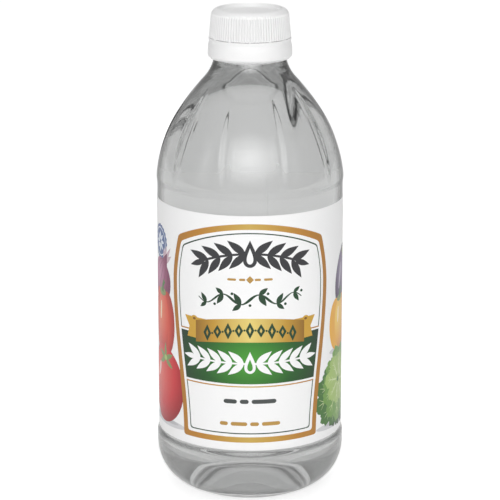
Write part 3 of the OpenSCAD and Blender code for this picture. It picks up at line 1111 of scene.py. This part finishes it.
def make_label():
    """The printed sheet, wrapped on the glass with its lap at the back, as thick as paper."""
    make_inks()
    layers = list(vegetables()) + back_panel(-BACK_PANEL_AT, 0) + back_panel(BACK_PANEL_AT, 2)
    layers += front_panel()
    flat, triangles, names = print_triangles(layers)
    order = sorted({"label_back", *names})
    count = len(flat)
    verts, normals = [], []
    for way in (1, -1):
        for u, z in flat:
            radius = LABEL_R + lap_rise(u, OUTER_RAMP)
            if way < 0:
                radius = LABEL_R + lap_rise(u, INNER_RAMP) - LABEL_T - LABEL_SINK
            x, y, _ = point = label_point(u, z, radius)
            verts.append(point)
            normals.append((way * x / radius, way * y / radius, 0.0))
    faces = [tuple(t) for t in triangles] + [tuple(i + count for i in reversed(t)) for t in triangles]
    edges = {(a, b) for t in triangles for a, b in zip(t, t[1:] + t[:1])}
    rims = sorted((a, b) for a, b in edges if (b, a) not in edges)
    faces += [(b, a, a + count, b + count) for a, b in rims]
    # Painted light: the sheet's cut edges take the glowing inside ink too, so they don't show dark through
    # the glass
    names += ["label_back"] * (len(faces) - len(names))
    mesh = new_mesh("label_wrap", verts, faces, [INKS[name] for name in order])
    mesh.polygons.foreach_set("material_index", [order.index(name) for name in names])
    mesh.shade_smooth()
    flat_map = mesh.uv_layers.new(name=PRINT_MAP)
    loop_normals = []
    for face in mesh.polygons:
        rim = face.index >= 2 * len(triangles)
        for loop in face.loop_indices:
            vertex = mesh.loops[loop].vertex_index
            flat_map.data[loop].uv = flat[vertex % count]
            loop_normals.append(tuple(face.normal) if rim else normals[vertex])
    mesh.normals_split_custom_set(loop_normals)
    return add_object("label_wrap", mesh)


# ---- Glass, vinegar, cap and band


def make_vinegar(material):
    """The liquid, from a small meniscus down to the floor, a little into the glass all round."""
    low = FILL_Z - MENISCUS_H
    surface = [(0, low), (BORE_R - 3, low), (BORE_R - 1.2, FILL_Z - MENISCUS_H * 0.8)]
    surface += [(BORE_R - 0.3, FILL_Z - MENISCUS_H * 0.35), (BORE_R + LIQUID_SINK, FILL_Z)]
    verts, faces = revolve(surface + inside_path(LIQUID_SINK), even_angles(160))
    return closed_piece("vinegar_fill", verts, faces, material)


def skirt_line(z):
    """Radius of the cap's sloping skirt, on the crests of its ribs."""
    return CAP_R - CAP_TAPER * (z - CAP_LOW) / (CAP_EDGE_Z - CAP_LOW)


def ribbed(radius, z, angle):
    """Cuts the grooves between the ribs into the outside of the cap."""
    if radius < DISH_R + 0.6 or z > CAP_TOP - 0.5 or (z < CAP_LOW + 0.1 and radius < CAP_R - 0.5):
        return radius
    line = skirt_line(z)
    across = ((angle + RIB_TURN / 2) % RIB_TURN - RIB_TURN / 2) * line
    cut = line - RIB_DEPTH + across ** 2 / (2 * GROOVE_CUT_R)
    return soft_min(radius, cut, RIB_EDGE)


def make_cap(material):
    """Screw cap: ribbed sloping skirt, rounded edge, dished top with a fine ring."""
    top_r, dish_z = CAP_R - CAP_TAPER, CAP_TOP - RECESS_DEPTH
    bore = [(0, MOUTH_Z), (CAP_BORE_R, MOUTH_Z), (CAP_BORE_R, CAP_LOW), (CAP_R, CAP_LOW)]
    bore = eased(bore + [(CAP_R - 0.2, CAP_LOW + 2)], 0.2)
    skirt = even_path((CAP_R - 0.04, CAP_LOW + 0.4), (top_r, CAP_EDGE_Z), 0.9)
    edge = arc((top_r - CAP_EDGE_R, CAP_EDGE_Z), CAP_EDGE_R, 0, 84, 16)
    dish = [edge[-1], (DISH_R + 0.1, CAP_TOP), (DISH_R - 0.25, dish_z), (RING_R + 0.8, dish_z)]
    path = bore[:-1] + skirt[:-1] + edge + eased(dish, 0.55, 5)[1:]
    path += arc((RING_R, dish_z), 0.35, 0, 180, 8) + [(RING_R - 1.2, dish_z), (1.4, dish_z)]
    path += arc((0, dish_z - 0.8), 1.0, 50, 90, 3)[:-1] + [(0, dish_z + 0.2)]
    piece = closed_piece("screw_cap", *revolve(path, even_angles(RIB_COUNT * 10), ribbed), material)
    # Depth in each groove, which sets the painted shade of the closure material
    grooves = piece.data.attributes.new(GROOVE_MAP, "FLOAT", "POINT")
    for vertex, depth in zip(piece.data.vertices, grooves.data):
        x, y, z = (c / MM for c in vertex.co)
        line = skirt_line(z)
        if CAP_LOW + 0.2 < z < CAP_EDGE_Z + 0.6 and hypot(x, y) > line - 1.5 * RIB_DEPTH:
            depth.value = min(1.0, max(0.0, (line - hypot(x, y)) / RIB_DEPTH))
    return piece


def make_band(material):
    """Tamper band: lip, waist and bevel outside, latch ring inside, and its bridges up to the cap."""
    lip = BAND_R - WAIST_DEPTH / 2
    foot = [(BAND_IN_R + 0.2, BAND_LOW)]
    outside = [(BAND_R - BEVEL, BAND_LOW), (BAND_R, BAND_LOW + BEVEL)]
    outside += [(BAND_R - WAIST_DEPTH / 5, BAND_TOP - 3.2), (BAND_R - WAIST_DEPTH, BAND_TOP - 1.3)]
    outside += [(lip, BAND_TOP - 0.5), (lip - 0.1, BAND_TOP)]
    latch_top, latch_r = BEAD_TOP - BEAD_H, NECK_R + 0.25
    inside = [(BAND_IN_R, BAND_TOP), (BAND_IN_R, latch_top), (latch_r, latch_top), (latch_r, latch_top - 1.2)]
    inside += [(BAND_IN_R, latch_top - 1.2), (BAND_IN_R, BAND_LOW)]
    path = eased(foot + outside + inside + foot, 0.5, 4)[:-1]
    verts, faces = revolve(path, even_angles(220), closed=True)
    near, far = BAND_IN_R + 0.25, BAND_IN_R + 1.05
    for turn in even_angles(BRIDGE_COUNT):
        faces += [tuple(len(verts) + k for k in side) for side in BOX_SIDES]
        for z in (BAND_TOP - 0.2, CAP_LOW + 0.05):
            for r, across in [(r, side * BRIDGE_W / 2) for r in (near, far) for side in (-1, 1)]:
                verts.append((r * cos(turn) - across * sin(turn), r * sin(turn) + across * cos(turn), z))
    return closed_piece("tamper_ring", verts, faces, material)


# ---- Floor, light and camera


def make_floor():
    """A pale floor that the camera sees as white, not attached to the object."""
    row = FLOOR_STEPS + 1
    line = evenly(-FLOOR_SIZE / 2, FLOOR_SIZE / 2, FLOOR_STEPS)
    verts = [(x, y, 0) for y in line for x in line]
    starts = [j * row + i for j in range(FLOOR_STEPS) for i in range(FLOOR_STEPS)]
    made, tree, shader = new_material("floor_paper", {
        "Base Color": FLOOR_COLOUR,
        "Specular IOR Level": 0.1,
        "Emission Color": (1, 1, 1, 1),
    })
    seen = add_node(tree, "LightPath", {})["Is Camera Ray"]
    wire(tree, shader, {
        "Emission Strength": span(tree, seen, FLOOR_GLOW, FLOOR_GLOW_SEEN),
        "Roughness": span(tree, noise(tree, 30), 0.75, 0.85),
    })
    mesh = new_mesh("studio_floor", verts, [(a, a + 1, a + row + 1, a + row) for a in starts], [made])
    add_object("studio_floor", mesh)


def soft_light(name, place, size, watts):
    """An area light that the camera doesn't see, brightest in its middle and falling off to its edges."""
    data = bpy.data.lights.new(name, "AREA")
    data.shape = "RECTANGLE"
    data.size, data.size_y = size
    data.energy = watts
    data.use_nodes = True
    tree = data.node_tree
    surface = add_node(tree, "NewGeometry", {})["Parametric"]
    centred = {"Vector": surface, "Location": (-1.0, -1.0, 0.0), "Scale": (2.0, 2.0, 0.0)}
    from_middle = add_node(tree, "Mapping", centred)["Vector"]
    fall = add_node(tree, "TexGradient", {"Vector": from_middle}, gradient_type="SPHERICAL")["Fac"]
    wire(tree, tree.nodes["Emission"], {"Strength": calculate(tree, "MULTIPLY", fall, FADED_GAIN)})
    lamp = add_object(name, data)
    lamp.location = place
    lamp.rotation_euler = (Vector(LIT_POINT) - Vector(place)).to_track_quat("-Z", "Y").to_euler()
    lamp.visible_camera = False


def make_world():
    """White to the camera; to the glass, bright above and behind and darker to the sides."""
    world = bpy.data.worlds.new("studio")
    world.use_nodes = True
    tree = world.node_tree
    tree.nodes.clear()
    place = add_node(tree, "TexCoord", {})["Generated"]
    side = calculate(tree, "ABSOLUTE", add_node(tree, "SeparateXYZ", {"Vector": place})["X"])
    stops = [(at, (level, level, level, 1)) for at, level in WORLD_STOPS]
    mix = {
        "Factor": add_node(tree, "LightPath", {})["Is Camera Ray"],
        MIX_A: colour_ramp(tree, side, stops),
        MIX_B: (1, 1, 1, 1),
    }
    back = {"Color": add_node(tree, "Mix", mix, data_type="RGBA")[MIX_OUT]}
    add_node(tree, "OutputWorld", {"Surface": add_node(tree, "Background", back)["Background"]})
    SCENE.world = world


def make_camera():
    """Looks down on the front, from 0.86 m away and 0.14 m above the cap."""
    data = bpy.data.cameras.new("camera")
    data.lens, data.sensor_width = CAMERA_LENS, 36.0
    camera = add_object("camera", data)
    camera.location = CAMERA_PLACE
    camera.rotation_euler = (radians(CAMERA_TILT), 0, 0)
    SCENE.camera = camera


SCENE.cycles.max_bounces = SCENE.cycles.transmission_bounces = GLASS_BOUNCES
SCENE.view_settings.view_transform = "Standard"
make_camera()
make_world()
make_floor()
for light in LIGHTS:
    soft_light(*light)

GLASS_SHELL = revolve(glass_path(), flute_angles(), glass_shape)
CLOSURE = closure_material()
PIECES = (
    (closed_piece("glass_bottle", *GLASS_SHELL, glass_material()), "bottle", "clear_glass"),
    (make_vinegar(vinegar_material()), "vinegar", "vinegar_liquid"),
    (make_label(), "label", "label_print"),
    (make_cap(CLOSURE), "cap", "white_closure"),
    (make_band(CLOSURE), "tamper_band", "white_closure"),
)
for piece, node, slot in PIECES:
    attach(piece, BODY)
    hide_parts(node)
    piece.visible_shadow = slot not in CLEAR_SLOTS
